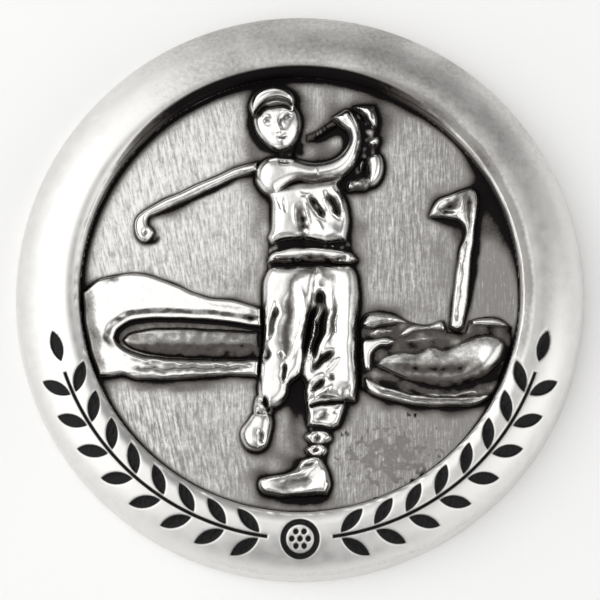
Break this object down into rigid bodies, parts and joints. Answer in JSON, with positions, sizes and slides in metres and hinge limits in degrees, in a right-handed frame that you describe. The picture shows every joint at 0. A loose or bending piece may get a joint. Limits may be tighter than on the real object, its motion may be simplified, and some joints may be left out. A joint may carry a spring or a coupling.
{
  "type": "golf ball marker",
  "caption": "Round coin-style golf ball marker with a domed laurel rim, a brushed recessed field and a raised scene of a golfer, hills and a flag.",
  "frame": {"origin": "centre of the flat back, on the surface that the marker rests on", "axes": "+Z towards the raised face, +Y towards the top of the scene, above the golfer's head, +X to the scene's right"},
  "size_m": [0.0254, 0.0254, 0.0026],
  "materials": {
    "rim_pewter": "antiqued pewter, satin polished over a soft dome",
    "field_pewter": "antiqued pewter, brushed in straight lines along Y, with dark patina in the corners",
    "relief_pewter": "antiqued pewter, polished on the high spots with dark patina in the recesses",
    "black_enamel": "black enamel fill with a dull gloss",
    "plated_steel": "nickel-plated steel, lightly scuffed",
    "adhesive": "cured clear epoxy"
  },
  "bodies": {
    "root": {"rim_ring": "rim_pewter", "field_disc": "field_pewter", "golfer_figure": "relief_pewter", "golf_club": "relief_pewter", "flagstick": "relief_pewter", "bunker_hill": "relief_pewter", "green_hill": "relief_pewter", "ornament_enamel": "black_enamel", "keeper_disc": "plated_steel", "adhesive_disc": "adhesive"}
  },
  "joints": []
}
